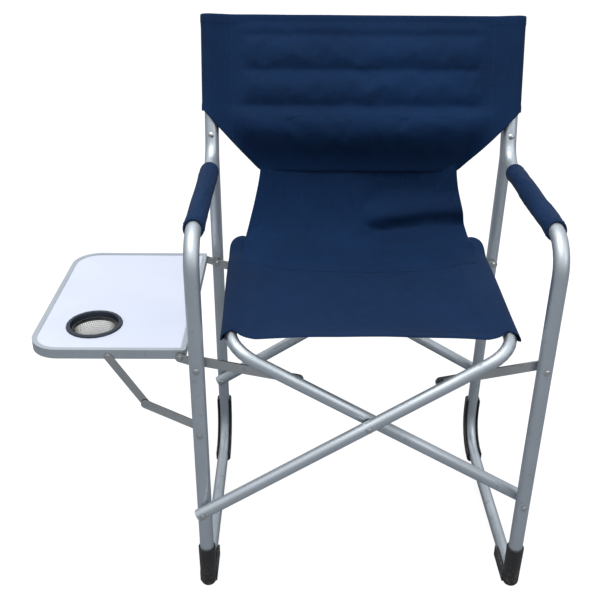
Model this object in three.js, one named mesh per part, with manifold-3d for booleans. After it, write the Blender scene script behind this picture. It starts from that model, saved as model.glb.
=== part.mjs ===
// Folding aluminium director's chair with a fold-down side table.
// Millimetres. +X runs from the side table across the seat, +Y is backwards, +Z is up.
// Modelling origin: on the floor, midway between the two front legs. The finished chair is then
// centred on its own bounding box, with the floor at z = 0.
import * as THREE from 'three';
import { mergeVertices } from 'three/addons/utils/BufferGeometryUtils.js';
import Module from 'manifold-3d';

const wasm = await Module();
wasm.setup();

// ---- driving dimensions ----
const LEG_SPACING = 490;          // centre to centre of the two side frames
const LEG_X = LEG_SPACING / 2;
const ARM_TUBE_R = 11;
const BASE_TUBE_R = 10;
const CROSS_TUBE_R = 9.5;
const TUBE_WALL = 1.5;
const GAP = 0.3;                  // running gap between pieces that touch

const ARM_Z = 598;                // arm tube centre height
const ARM_FRONT_BEND_R = 48;
const ARM_REAR_BEND_R = 45;
const LEG_FOOT_Z = 4.5;           // bottom end of the front leg, inside its boot
const RECLINE = THREE.MathUtils.degToRad(15.5);
const POST_REF_Y = 345;           // a point on the back post's centre line ...
const POST_REF_Z = 640;           // ... where the rear leg is riveted to it
const POST_TOP_Z = 812;

const REAR_FOOT_Y = 378;          // corner of the rear leg and the ground runner
const RUNNER_Z = 13.2;
const REAR_BEND_R = 60;
const LEG_TOP_BEND_R = 30;
const LEG_TOP_ABOVE_RIVET = 28;
const LEG_BEND_BELOW_RIVET = 34;

const PIVOT_Z = 161;              // lower cross-tube pivots on the legs
const RAIL_Z = 437;               // seat rail centre height
const RAIL_X = 200;               // seat rail centre from the chair's middle
const RAIL_BEND_R = 42;
const CROSS_TAIL = 9;             // open tube end past the lower pivot
const CROSS_GAP = 1.6;            // between the two tubes where they cross
const CROSS_BUSH_R = 6.5;
const HEAD_CLEAR = 0.25;          // rivet heads stand off the cross tubes, which lean a little front to back
const LINK_LEG_Z = 406;           // link pivot on the legs
const LINK_PIN_REACH = 120;       // link pin from the crossing, along the cross tube
const LINK_WIDTH = 15;
const LINK_THICK = 2.4;
const LINK_GAP = 0.5;             // between a link and the tube it passes
const LINK_DRIFT = 45;            // length of tube that a link sweeps over as the chair folds

const RIVET_R = 3;
const HOLE_R = 3.3;
const DRILL_REACH = 20;           // either side of a tube's centre line
const HEAD_R = 5;
const HEAD_H = 2;

const TABLE_OUTER_X = -489;
const TABLE_INNER_X = -262;
const TABLE_FRONT_Y = 16;
const TABLE_REAR_Y = 350;
const TABLE_TOP_Z = 425;
const APRON_H = 14.5;
const TABLE_CORNER_R = 44;
const TABLE_SMALL_CORNER_R = 4;
const RIM_WALL = 2.5;
const RIM_LIP = 7;
const BOARD_TOP_Z = 423.7;
const BOARD_THICK = 3.6;
const TABLE_HINGE_X = -270;
const TABLE_HINGE_Z = 414.4;
const CUP_X = -406;
const CUP_Y = 92;
const CUP_RING_R = 42;
const CUP_HOLE_R = 38;
const CUP_RING_WALL = 3;
const CUP_NET_DEPTH = 32;
const BRACKET_WIDTH = 13;
const BRACKET_THICK = 2;
const BRACKET_GAP = 0.4;          // between the front leg and the flat bars beside it

const BRACE_LEG_Z = 295;
const BRACE_APRON_X = -372;
const BRACE_APRON_Z = 414.4;
const BRACE_LOWER_LENGTH = 89;
const BRACE_KNEE_ANGLE = THREE.MathUtils.degToRad(152.6);
const BRACE_LOWER_WIDTH = 14;
const BRACE_LOWER_THICK = 1.5;
const BRACE_UPPER_WIDTH = 12;
const BRACE_UPPER_THICK = 1.2;

const BOOT_WALL = 2.6;
const BOOT_TOP_Z = 74;
const BOOT_BACK_Y = 60;           // end of the boot's channel for the runner
const RUNNER_END_Y = ARM_TUBE_R + 4;
const SADDLE_WALL = 2.5;
const SADDLE_TOP_Z = 101;
const SADDLE_FRONT_Y = 310;
const PAD_THICK = 4;

const SEAT_FRONT_Y = 38;
const SEAT_REAR_Y = 334;
const SEAT_THICK = 5;
const SEAT_TOP_ABOVE_RAIL = 4;    // over the rails' centre line, about which the panels hinge
const SEAT_MIDDLE_GAP = 8.5;      // from the middle to each panel, which lets them fold face to face
const SEAT_LEFT_X = 176;
const SEAT_RIGHT_X = 128;         // shorter, because its far edge leaves the rail half way through the fold
const BACK_THICK = 6;
const BACK_TOP_Z = 822;
const BACK_MIDDLE_GAP = 7;
const BACK_LEFT_X = 232;
const BACK_RIGHT_X = 186;         // shorter, for the same reason

// ---- values that follow from them ----
const CROSS_FRONT_Y = ARM_TUBE_R + CROSS_TUBE_R + 2 * GAP;      // cross tubes pass legs at this offset
const LEG_LEAN = (REAR_FOOT_Y - postLegBend().y) / (postLegBend().z - RUNNER_Z);
const rearLegY = (z) => REAR_FOOT_Y - (z - RUNNER_Z) * LEG_LEAN;
const CROSS_MID_Y = rearLegY(PIVOT_Z) / 2;
const CROSS_ANGLE = Math.atan2(RAIL_Z - PIVOT_Z, LEG_X + RAIL_X);
const CROSSING_Z = PIVOT_Z + LEG_X * Math.tan(CROSS_ANGLE);
const LINK_PIN_X = LINK_PIN_REACH * Math.cos(CROSS_ANGLE);
const LINK_PIN_Z = CROSSING_Z + LINK_PIN_REACH * Math.sin(CROSS_ANGLE);

const FRONT_BRACKET_Y = ARM_TUBE_R + BRACKET_GAP;
const REAR_BRACKET_Y = TABLE_REAR_Y + 0.6;

// Cross tube A passes in front of the left legs and B behind the right ones. B is A turned half a turn
// about the vertical. Both lean towards each other on the way up, so they lie side by side where they cross.
const LEG_REACH = LEG_X / Math.cos(CROSS_ANGLE);       // lower pivot to the crossing, along the tube
const RAIL_REACH = RAIL_X / Math.cos(CROSS_ANGLE);     // crossing to the rail's corner
const CROSS_APART = CROSS_TUBE_R + CROSS_GAP / 2;
const CROSS_LEAN = (CROSS_FRONT_Y - CROSS_APART) / LEG_REACH;
const FRONT_LEGS_Y = 0;
const REAR_LEGS_Y = 2 * CROSS_MID_Y;
const crossOffset = (reach) => CROSS_APART - CROSS_LEAN * reach;
const crossY = (tube, legsY, reach) => legsY + (tube === 'a' ? -1 : 1) * crossOffset(reach);

// ---- materials ----
function metal(name, colour, roughness) {
  return new THREE.MeshStandardMaterial({ name, color: colour, roughness, metalness: 1 });
}
function dull(name, colour, roughness) {
  return new THREE.MeshStandardMaterial({ name, color: colour, roughness, metalness: 0 });
}
const aluminium = () => metal('satin_aluminium', 0xa3abb2, 0.38);
const steel = () => metal('rivet_steel', 0xb4b6b8, 0.3);
const blackPlastic = () => dull('black_plastic', 0x17181a, 0.55);
const navyFabric = () => dull('navy_fabric', 0x16294d, 0.9);
const whiteBoard = () => dull('white_board', 0xe4e9f0, 0.45);
const greyNet = () => dull('grey_net', 0x77797a, 0.9);

// ---- shape helpers ----
const chair = new THREE.Group();

function add(name, geometry, material) {
  const mesh = new THREE.Mesh(geometry, material);
  mesh.name = name;
  chair.add(mesh);
  return mesh;
}

function vec(x, y, z) {
  return new THREE.Vector3(x, y, z);
}

function postPoint(x, z) {
  return vec(x, POST_REF_Y + (z - POST_REF_Z) * Math.tan(RECLINE), z);
}

// A point on the rear leg's upper part, which lies behind the post and parallel to it.
function behindPost(along) {
  const offset = ARM_TUBE_R + BASE_TUBE_R + 2 * GAP;
  return vec(
    0,
    POST_REF_Y + offset * Math.cos(RECLINE) + along * Math.sin(RECLINE),
    POST_REF_Z - offset * Math.sin(RECLINE) + along * Math.cos(RECLINE),
  );
}

function postLegBend() {
  return behindPost(-LEG_BEND_BELOW_RIVET);
}

// A centre line of straight runs joined by round bends. Its spaced points sit only where the
// direction changes, so a straight run costs one ring of faces.
class BentPath extends THREE.Curve {
  constructor(corners, radius, bendSteps = 6) {
    super();
    this.stations = [];
    const radii = Array.isArray(radius) ? radius : corners.slice(2).map(() => radius);
    corners.forEach((corner, i) => {
      if (i === 0 || i === corners.length - 1) {
        const other = corners[i === 0 ? 1 : i - 1];
        const way = i === 0 ? other.clone().sub(corner) : corner.clone().sub(other);
        this.stations.push({ point: corner.clone(), tangent: way.normalize() });
      } else {
        this.addBend(corners[i - 1], corner, corners[i + 1], radii[i - 1], bendSteps);
      }
    });
  }

  addBend(before, corner, after, radius, bendSteps) {
    const into = corner.clone().sub(before).normalize();
    const out = after.clone().sub(corner).normalize();
    const turn = into.angleTo(out);
    const axis = into.clone().cross(out).normalize();
    const start = corner.clone().addScaledVector(into, -radius * Math.tan(turn / 2));
    const centre = start.clone().addScaledVector(axis.clone().cross(into), radius);
    for (let k = 0; k <= bendSteps; k += 1) {
      const angle = (turn * k) / bendSteps;
      const point = start.clone().sub(centre).applyAxisAngle(axis, angle).add(centre);
      this.stations.push({ point, tangent: into.clone().applyAxisAngle(axis, angle) });
    }
  }

  station(u) {
    return this.stations[Math.round(u * (this.stations.length - 1))];
  }

  getPoint(u, target = new THREE.Vector3()) {
    return target.copy(this.station(u).point);
  }

  getPointAt(u, target) {
    return this.getPoint(u, target);
  }

  getTangentAt(u, target = new THREE.Vector3()) {
    return target.copy(this.station(u).tangent);
  }
}

function sweep(shape, path) {
  return new THREE.ExtrudeGeometry(shape, {
    steps: path.stations.length - 1,
    extrudePath: path,
    curveSegments: 1,
    bevelEnabled: false,
  });
}

function circlePoints(radius, sides) {
  return Array.from({ length: sides }, (_, i) => {
    const angle = (2 * Math.PI * i) / sides;
    return new THREE.Vector2(radius * Math.cos(angle), radius * Math.sin(angle));
  });
}

function ring(outer, inner, sides, innerSides = sides) {
  const shape = new THREE.Shape(circlePoints(outer, sides));
  shape.holes.push(new THREE.Path(circlePoints(inner, innerSides)));
  return shape;
}

function hollowTube(path, radius) {
  return sweep(ring(radius, radius - TUBE_WALL, 16, 8), path);
}

// A cylinder along Y between two y values.
function rodAlongY(x, z, yFront, yBack, radius, sides = 8) {
  const rod = new THREE.CylinderGeometry(radius, radius, yBack - yFront, sides);
  return rod.translate(x, (yFront + yBack) / 2, z);
}

function extrude(shape, depth, curveSegments) {
  return new THREE.ExtrudeGeometry(shape, { depth, bevelEnabled: false, curveSegments });
}

// A drill for a rivet hole right through a tube whose centre line is at y.
function drillAlongY(x, z, y) {
  return rodAlongY(x, z, y - DRILL_REACH, y + DRILL_REACH, HOLE_R);
}

// A flat shape drawn in X and Z, given thickness along Y.
function plate(shape, yFront, yBack) {
  return extrude(shape, yBack - yFront, 5).rotateX(Math.PI / 2).translate(0, yBack, 0);
}

// A flat shape drawn in X and Y, given thickness along Z.
function slab(shape, zLow, zHigh) {
  return extrude(shape, zHigh - zLow, 6).translate(0, 0, zLow);
}

function toManifold(geometry) {
  const bare = geometry.clone();
  bare.deleteAttribute('normal');
  bare.deleteAttribute('uv');
  const merged = mergeVertices(bare, 1e-4);
  return new wasm.Manifold(new wasm.Mesh({
    numProp: 3,
    vertProperties: new Float32Array(merged.attributes.position.array),
    triVerts: new Uint32Array(merged.index.array),
  }));
}

function fromManifold(solid) {
  const mesh = solid.getMesh();
  const geometry = new THREE.BufferGeometry();
  geometry.setAttribute('position', new THREE.BufferAttribute(mesh.vertProperties, 3));
  geometry.setIndex(new THREE.BufferAttribute(mesh.triVerts, 1));
  geometry.computeVertexNormals();
  return geometry;
}

function cut(body, ...cutters) {
  const solid = cutters.reduce((left, cutter) => left.subtract(toManifold(cutter)), toManifold(body));
  return fromManifold(solid);
}

function join(...parts) {
  return fromManifold(parts.map(toManifold).reduce((sum, part) => sum.add(part)));
}

// A rivet along Y through everything between yFront and yBack, with a domed head at each end.
function rivet(x, z, yFront, yBack, headR = HEAD_R) {
  const front = yFront - GAP;
  const back = yBack + GAP;
  const profile = [
    [0, front - HEAD_H],
    [headR * 0.62, front - HEAD_H * 0.78],
    [headR, front],
    [RIVET_R, front],
    [RIVET_R, back],
    [headR * 0.84, back],
    [0, back + HEAD_H * 0.75],
  ].map(([r, y]) => new THREE.Vector2(r, y));
  return new THREE.LatheGeometry(profile, 10).translate(x, 0, z);
}

// A rivet button: its head lies on one face of a bar and its shank fills the bar's hole.
function button(x, z, yHead, yShankEnd, headR = HEAD_R) {
  const out = Math.sign(yHead - yShankEnd);
  const profile = [
    [0, yShankEnd],
    [RIVET_R, yShankEnd],
    [RIVET_R, yHead],
    [headR, yHead],
    [headR * 0.6, yHead + out * HEAD_H * 0.7],
    [0, yHead + out * HEAD_H * 0.8],
  ].map(([r, y]) => new THREE.Vector2(r, y));
  if (out < 0) profile.reverse();
  return new THREE.LatheGeometry(profile, 10).translate(x, 0, z);
}

// A straight bar with round ends and a hole at each end, between (x0, z0) and (x1, z1).
function bar(x0, z0, x1, z1, width, yFront, yBack) {
  const along = Math.atan2(z1 - z0, x1 - x0);
  const r = width / 2;
  const shape = new THREE.Shape();
  shape.absarc(x0, z0, r, along + Math.PI / 2, along + 1.5 * Math.PI, false);
  shape.absarc(x1, z1, r, along - Math.PI / 2, along + Math.PI / 2, false);
  for (const [x, z] of [[x0, z0], [x1, z1]]) {
    const hole = new THREE.Path(circlePoints(HOLE_R, 8).map((p) => p.add(new THREE.Vector2(x, z))));
    shape.holes.push(hole);
  }
  return plate(shape, yFront, yBack);
}

function roundedRectangle(x0, y0, x1, y1, outerR, innerR) {
  const shape = new THREE.Shape();
  shape.moveTo(x0 + outerR, y0);
  shape.lineTo(x1 - innerR, y0);
  shape.absarc(x1 - innerR, y0 + innerR, innerR, -Math.PI / 2, 0, false);
  shape.lineTo(x1, y1 - innerR);
  shape.absarc(x1 - innerR, y1 - innerR, innerR, 0, Math.PI / 2, false);
  shape.lineTo(x0 + outerR, y1);
  shape.absarc(x0 + outerR, y1 - outerR, outerR, Math.PI / 2, Math.PI, false);
  shape.lineTo(x0, y0 + outerR);
  shape.absarc(x0 + outerR, y0 + outerR, outerR, Math.PI, 1.5 * Math.PI, false);
  return shape;
}

// ---- side frames ----
// Front leg, arm and back post are one bent tube.
function armTube(x) {
  const frontFoot = vec(x, 0, LEG_FOOT_Z);
  const frontTop = vec(x, 0, ARM_Z);
  const tube = hollowTube(
    new BentPath([frontFoot, frontTop, postPoint(x, ARM_Z), postPoint(x, POST_TOP_Z)],
      [ARM_FRONT_BEND_R, ARM_REAR_BEND_R]),
    ARM_TUBE_R,
  );
  const heights = x < 0 ? [PIVOT_Z, LINK_LEG_Z, BRACE_LEG_Z] : [PIVOT_Z, LINK_LEG_Z];
  const holes = heights.map((z) => drillAlongY(x, z, 0));
  holes.push(postRivetHole(x));
  return cut(tube, ...holes);
}

// The post rivet runs square to the reclined post, so it is built upright and tipped back with it.
function tipWithPost(geometry, x) {
  return geometry.rotateX(-RECLINE).translate(x, POST_REF_Y, POST_REF_Z);
}

function postRivetHole(x) {
  return tipWithPost(rodAlongY(0, 0, -30, 60, HOLE_R), x);
}

function postRivet(x) {
  const back = ARM_TUBE_R + 2 * BASE_TUBE_R + 2 * GAP;
  return tipWithPost(rivet(0, 0, -ARM_TUBE_R, back), x);
}

// Rear leg and ground runner are one bent tube.
function baseTube(x) {
  const top = behindPost(LEG_TOP_ABOVE_RIVET).setX(x);
  const bend = postLegBend().setX(x);
  const corner = vec(x, REAR_FOOT_Y, RUNNER_Z);
  const runnerEnd = vec(x, RUNNER_END_Y, RUNNER_Z);
  const tube = hollowTube(
    new BentPath([top, bend, corner, runnerEnd], [LEG_TOP_BEND_R, REAR_BEND_R]),
    BASE_TUBE_R,
  );
  const holes = [PIVOT_Z, LINK_LEG_Z].map((z) => drillAlongY(x, z, rearLegY(z)));
  return cut(tube, ...holes, postRivetHole(x));
}

// Plastic plug in the open top of the rear leg: a stem in the bore under a domed cap.
function legPlug(x) {
  const bore = (BASE_TUBE_R - TUBE_WALL) * 0.88;
  const profile = [[0, -10], [bore, -10], [bore, GAP], [BASE_TUBE_R, GAP], [BASE_TUBE_R * 0.9, 2.5], [0, 4]]
    .map(([r, y]) => new THREE.Vector2(r, y));
  const top = behindPost(LEG_TOP_ABOVE_RIVET);
  return new THREE.LatheGeometry(profile, 16)
    .rotateX(Math.PI / 2 - RECLINE)
    .translate(x, top.y, top.z);
}

function armPad(x) {
  const y0 = ARM_FRONT_BEND_R - 2;
  const y1 = postPoint(x, ARM_Z).y - ARM_REAR_BEND_R;
  const path = new BentPath([vec(x, y0, ARM_Z), vec(x, y1, ARM_Z)], []);
  return sweep(ring(ARM_TUBE_R + PAD_THICK, ARM_TUBE_R + GAP, 16), path);
}

// Boot on the front leg, moulded with an open channel that holds the front end of the runner.
function frontFoot(x) {
  const bootR = ARM_TUBE_R + BOOT_WALL;
  const channelTop = 20;
  const cutLength = 90;
  const cutHeight = 40;
  const bore = BASE_TUBE_R + 2 * GAP;
  const socketR = ARM_TUBE_R + 2 * GAP;
  const bedFront = RUNNER_END_Y - GAP;
  const boot = new THREE.LatheGeometry(
    [[0, 0], [bootR - 3, 0], [bootR - 0.8, 4], [bootR, BOOT_TOP_Z], [0, BOOT_TOP_Z]]
      .map(([r, y]) => new THREE.Vector2(r, y)),
    16,
  ).rotateX(Math.PI / 2).translate(x, 0, 0);
  const channel = new THREE.BoxGeometry(2 * bootR, BOOT_BACK_Y, channelTop)
    .translate(x, BOOT_BACK_Y / 2, channelTop / 2);
  const legSocket = new THREE.CylinderGeometry(socketR, socketR, cutLength, 16)
    .rotateX(Math.PI / 2)
    .translate(x, 0, LEG_FOOT_Z - GAP + cutLength / 2);
  const runnerBed = rodAlongY(x, RUNNER_Z, bedFront, bedFront + cutLength, bore, 16);
  const runnerSlot = new THREE.BoxGeometry(2 * bore, cutLength, cutHeight)
    .translate(x, bedFront + cutLength / 2, RUNNER_Z + cutHeight / 2);
  const body = join(boot, channel);
  return cut(body, legSocket, runnerBed, runnerSlot);
}

// Saddle clipped round the outside of the rear bend: a U channel with a flat sole.
function rearSaddle(x) {
  const bore = BASE_TUBE_R + 3 * GAP;
  const half = bore + SADDLE_WALL;
  const sole = RUNNER_Z;
  const lip = -5;
  const chamfer = 4;
  const shape = new THREE.Shape([
    new THREE.Vector2(-half, lip),
    new THREE.Vector2(-bore, lip),
    ...Array.from({ length: 7 }, (_, i) => {
      const angle = Math.PI - (Math.PI * i) / 6;
      return new THREE.Vector2(bore * Math.cos(angle), bore * Math.sin(angle));
    }),
    new THREE.Vector2(bore, lip),
    new THREE.Vector2(half, lip),
    new THREE.Vector2(half, sole - chamfer),
    new THREE.Vector2(half - chamfer, sole),
    new THREE.Vector2(chamfer - half, sole),
    new THREE.Vector2(-half, sole - chamfer),
  ]);
  const path = new BentPath(
    [
      vec(x, rearLegY(SADDLE_TOP_Z), SADDLE_TOP_Z),
      vec(x, REAR_FOOT_Y, RUNNER_Z),
      vec(x, SADDLE_FRONT_Y, RUNNER_Z),
    ],
    REAR_BEND_R,
  );
  return sweep(shape, path);
}

function sideFrame(side, x) {
  add(`arm_tube_${side}`, armTube(x), aluminium());
  add(`base_tube_${side}`, baseTube(x), aluminium());
  add(`arm_pad_${side}`, armPad(x), navyFabric());
  add(`front_foot_${side}`, frontFoot(x), blackPlastic());
  add(`rear_saddle_${side}`, rearSaddle(x), blackPlastic());
  add(`rear_leg_plug_${side}`, legPlug(x), blackPlastic());
  add(`post_rivet_${side}`, postRivet(x), steel());
}

// ---- double cross frame ----
// One bent tube: up across the front, back along the seat rail, down across the rear.
function crossTube(tube) {
  const toward = tube === 'a' ? 1 : -1;
  const at = (legsY, reach) => vec(
    toward * reach * Math.cos(CROSS_ANGLE),
    crossY(tube, legsY, reach),
    CROSSING_Z + reach * Math.sin(CROSS_ANGLE),
  );
  const tail = -LEG_REACH - CROSS_TAIL;
  const corners = [
    at(FRONT_LEGS_Y, tail),
    at(FRONT_LEGS_Y, RAIL_REACH),
    at(REAR_LEGS_Y, RAIL_REACH),
    at(REAR_LEGS_Y, tail),
  ];
  const holes = [FRONT_LEGS_Y, REAR_LEGS_Y].flatMap((legsY) => [-LEG_REACH, 0].map((reach) => {
    const centre = at(legsY, reach);
    return drillAlongY(centre.x, centre.z, centre.y);
  }));
  return cut(hollowTube(new BentPath(corners, RAIL_BEND_R), CROSS_TUBE_R), ...holes);
}

function spacer(x, z, yFront, yBack, radius = 5) {
  const tube = ring(radius, HOLE_R, 10, 8);
  return plate(tube, yFront + GAP, yBack - GAP).translate(x, 0, z);
}

function crossFrames() {
  const out = CROSS_TUBE_R + HEAD_CLEAR;
  const pivotA = (legsY) => crossY('a', legsY, -LEG_REACH) - out;
  const pivotB = (legsY) => crossY('b', legsY, -LEG_REACH) + out;
  const legHalf = BASE_TUBE_R + GAP;
  add('cross_tube_a', crossTube('a'), aluminium());
  add('cross_tube_b', crossTube('b'), aluminium());
  for (const [end, legsY] of [['front', FRONT_LEGS_Y], ['rear', REAR_LEGS_Y]]) {
    const yA = crossY('a', legsY, 0);
    const yB = crossY('b', legsY, 0);
    add(`cross_rivet_${end}`, rivet(0, CROSSING_Z, yA - out, yB + out), steel());
    const bush = spacer(0, CROSSING_Z, yA + CROSS_TUBE_R, yB - CROSS_TUBE_R, CROSS_BUSH_R);
    add(`cross_bush_${end}`, bush, blackPlastic());
  }
  add('pivot_rivet_front_left', rivet(-LEG_X, PIVOT_Z, pivotA(FRONT_LEGS_Y), ARM_TUBE_R), steel());
  add('pivot_rivet_rear_left', rivet(-LEG_X, PIVOT_Z, pivotA(REAR_LEGS_Y), REAR_LEGS_Y + legHalf), steel());
  add('pivot_rivet_front_right', rivet(LEG_X, PIVOT_Z, -ARM_TUBE_R, pivotB(FRONT_LEGS_Y)), steel());
  add('pivot_rivet_rear_right', rivet(LEG_X, PIVOT_Z, REAR_LEGS_Y - legHalf, pivotB(REAR_LEGS_Y)), steel());
}

// ---- links that keep the side frames upright ----
function link(name, side, yFront, buttonOnBack) {
  const yBack = yFront + LINK_THICK;
  const pinX = side * LINK_PIN_X;
  const shankShort = 0.1;
  const geometry = bar(side * LEG_X, LINK_LEG_Z, pinX, LINK_PIN_Z, LINK_WIDTH, yFront, yBack);
  const pin = buttonOnBack
    ? button(pinX, LINK_PIN_Z, yBack + GAP, yFront + shankShort)
    : button(pinX, LINK_PIN_Z, yFront - GAP, yBack - shankShort);
  add(`link_${name}`, geometry, steel());
  add(`link_button_${name}`, pin, steel());
}

// The left front link lies behind its cross tube. The other three lie on the inner side of their legs,
// with a spacer between the link and the tube.
function links() {
  const r = CROSS_TUBE_R;
  const legBack = rearLegY(LINK_LEG_Z) + BASE_TUBE_R + GAP;
  const tubeBack = (tube) => crossY(tube, FRONT_LEGS_Y, LINK_PIN_REACH) + r;
  const tubeFront = (tube) => crossY(tube, REAR_LEGS_Y, LINK_PIN_REACH) - r;

  const frontLeft = crossY('b', FRONT_LEGS_Y, LINK_PIN_REACH - LINK_DRIFT) + r + LINK_GAP;
  link('front_left', -1, frontLeft, true);
  add('link_rivet_front_left', rivet(-LEG_X, LINK_LEG_Z, -ARM_TUBE_R, frontLeft + LINK_THICK), steel());
  add(
    'link_spacer_front_left',
    spacer(-LEG_X, LINK_LEG_Z, FRONT_BRACKET_Y + BRACKET_THICK, frontLeft),
    blackPlastic(),
  );

  const frontRight = ARM_TUBE_R + LINK_GAP;
  link('front_right', 1, frontRight, true);
  add('link_rivet_front_right', rivet(LEG_X, LINK_LEG_Z, -ARM_TUBE_R, frontRight + LINK_THICK), steel());
  add('link_spacer_front_right', spacer(LINK_PIN_X, LINK_PIN_Z, tubeBack('a'), frontRight), blackPlastic());

  const rearLeft = REAR_BRACKET_Y - LINK_GAP - LINK_THICK;
  const rearLeftBack = rearLeft + LINK_THICK;
  link('rear_left', -1, rearLeft, false);
  add('link_rivet_rear_left', rivet(-LEG_X, LINK_LEG_Z, rearLeft, legBack - GAP), steel());
  add('link_spacer_rear_left', spacer(-LINK_PIN_X, LINK_PIN_Z, rearLeftBack, tubeFront('b')), blackPlastic());

  const rearRight = rearLegY(LINK_LEG_Z + LINK_DRIFT) - BASE_TUBE_R - LINK_GAP - LINK_THICK;
  const rearRightBack = rearRight + LINK_THICK;
  link('rear_right', 1, rearRight, false);
  add('link_rivet_rear_right', rivet(LEG_X, LINK_LEG_Z, rearRight, legBack - GAP), steel());
  const rearRightSpacer = spacer(LINK_PIN_X, LINK_PIN_Z, rearRightBack, tubeFront('a'));
  add('link_spacer_rear_right', rearRightSpacer, blackPlastic());
}

// ---- fabric, as simple panels that stay clear of the frame through the whole fold ----
function seatPanel(side, outerX) {
  const width = outerX - SEAT_MIDDLE_GAP;
  const centreZ = RAIL_Z + SEAT_TOP_ABOVE_RAIL - SEAT_THICK / 2;
  return new THREE.BoxGeometry(width, SEAT_REAR_Y - SEAT_FRONT_Y, SEAT_THICK)
    .translate(side * (SEAT_MIDDLE_GAP + width / 2), (SEAT_FRONT_Y + SEAT_REAR_Y) / 2, centreZ);
}

// Half of the back: a wide panel between the posts that narrows to a tongue above the seat.
// Drawn in X and the distance up the recline from the post rivet.
function backPanel(side, outerX) {
  const up = (z) => (z - POST_REF_Z) / Math.cos(RECLINE);
  const outline = [
    [BACK_MIDDLE_GAP, 478], [62, 478], [118, 562], [158, 647], [165, 690],
    [outerX, 706], [outerX, BACK_TOP_Z], [BACK_MIDDLE_GAP, BACK_TOP_Z],
  ].map(([x, z]) => new THREE.Vector2(side * x, up(z)));
  const panel = plate(new THREE.Shape(outline), -BACK_THICK / 2, BACK_THICK / 2);
  return tipWithPost(panel, 0);
}

function fabric() {
  add('seat_panel_left', seatPanel(-1, SEAT_LEFT_X), navyFabric());
  add('seat_panel_right', seatPanel(1, SEAT_RIGHT_X), navyFabric());
  add('back_panel_left', backPanel(-1, BACK_LEFT_X), navyFabric());
  add('back_panel_right', backPanel(1, BACK_RIGHT_X), navyFabric());
}

// ---- side table ----
function tableOutline(inset) {
  return roundedRectangle(
    TABLE_OUTER_X + inset, TABLE_FRONT_Y + inset, TABLE_INNER_X - inset, TABLE_REAR_Y - inset,
    TABLE_CORNER_R - inset, Math.max(TABLE_SMALL_CORNER_R - inset, 1),
  );
}

function tableRim() {
  const low = TABLE_TOP_Z - APRON_H;
  const through = 5;
  const lipThick = 1.5;
  const boardBottom = BOARD_TOP_Z - BOARD_THICK - GAP;
  const outer = slab(tableOutline(0), low, TABLE_TOP_Z);
  const window = slab(tableOutline(RIM_LIP), low - through, TABLE_TOP_Z + through);
  const groove = slab(tableOutline(RIM_WALL), boardBottom, BOARD_TOP_Z + GAP);
  const underside = slab(tableOutline(RIM_WALL), low - through, boardBottom - lipThick);
  const hingeHoles = [TABLE_FRONT_Y, TABLE_REAR_Y].map((y) => drillAlongY(TABLE_HINGE_X, TABLE_HINGE_Z, y));
  const braceHole = drillAlongY(BRACE_APRON_X, BRACE_APRON_Z, TABLE_FRONT_Y);
  return cut(outer, window, groove, underside, ...hingeHoles, braceHole);
}

function tableBoard() {
  const board = tableOutline(RIM_WALL + GAP);
  board.holes.push(new THREE.Path(
    circlePoints(CUP_HOLE_R, 24).map((p) => p.add(new THREE.Vector2(CUP_X, CUP_Y))),
  ));
  return slab(board, BOARD_TOP_Z - BOARD_THICK, BOARD_TOP_Z);
}

function cupLathe(points, sides) {
  return new THREE.LatheGeometry(points.map(([r, z]) => new THREE.Vector2(r, z)), sides)
    .rotateX(Math.PI / 2)
    .translate(CUP_X, CUP_Y, 0);
}

function cupRing() {
  const inner = CUP_HOLE_R - CUP_RING_WALL;
  const outer = CUP_HOLE_R - GAP;
  const collar = BOARD_TOP_Z - 12;
  const seat = BOARD_TOP_Z + GAP;
  return cupLathe([
    [inner, collar], [outer, collar], [outer, seat], [CUP_RING_R, seat],
    [CUP_RING_R - 1, seat + 2], [inner + 1, seat + 2.6], [inner, seat + 1], [inner, collar],
  ], 24);
}

function cupNet() {
  const wall = CUP_HOLE_R - CUP_RING_WALL - GAP;
  const top = BOARD_TOP_Z - 3;
  const bottom = BOARD_TOP_Z - CUP_NET_DEPTH;
  return cupLathe([
    [0, bottom], [wall - 8, bottom], [wall - 2, bottom + 7], [wall, top], [wall - 1.5, top],
    [wall - 3.5, bottom + 8], [wall - 8.5, bottom + 1.5], [0, bottom + 1.5],
  ], 16);
}

// Bracket from the leg's link rivet out to the table's hinge pin.
function hingeBracket(yFront) {
  const yBack = yFront + BRACKET_THICK;
  return bar(-LEG_X, LINK_LEG_Z, TABLE_HINGE_X, TABLE_HINGE_Z, BRACKET_WIDTH, yFront, yBack);
}

function brace() {
  const lowerFront = FRONT_BRACKET_Y;
  const lowerBack = lowerFront + BRACE_LOWER_THICK;
  const upperFront = lowerBack + BRACE_LOWER_THICK;
  const upperBack = upperFront + BRACE_UPPER_THICK;
  const apronBack = TABLE_FRONT_Y + RIM_WALL;
  const kneeX = -LEG_X + BRACE_LOWER_LENGTH * Math.cos(BRACE_KNEE_ANGLE);
  const kneeZ = BRACE_LEG_Z + BRACE_LOWER_LENGTH * Math.sin(BRACE_KNEE_ANGLE);
  const lower = bar(-LEG_X, BRACE_LEG_Z, kneeX, kneeZ, BRACE_LOWER_WIDTH, lowerFront, lowerBack);
  const upper = bar(BRACE_APRON_X, BRACE_APRON_Z, kneeX, kneeZ, BRACE_UPPER_WIDTH, upperFront, upperBack);
  add('brace_lower', lower, steel());
  add('brace_upper', upper, steel());
  add('brace_leg_rivet', shortRivet(-LEG_X, BRACE_LEG_Z, -ARM_TUBE_R, lowerBack), steel());
  add('brace_knee_rivet', flushRivet(kneeX, kneeZ, lowerFront + 0.05, lowerBack + 0.1), steel());
  add('brace_apron_rivet', shortRivet(BRACE_APRON_X, BRACE_APRON_Z, upperFront, apronBack), steel());
}

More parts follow.
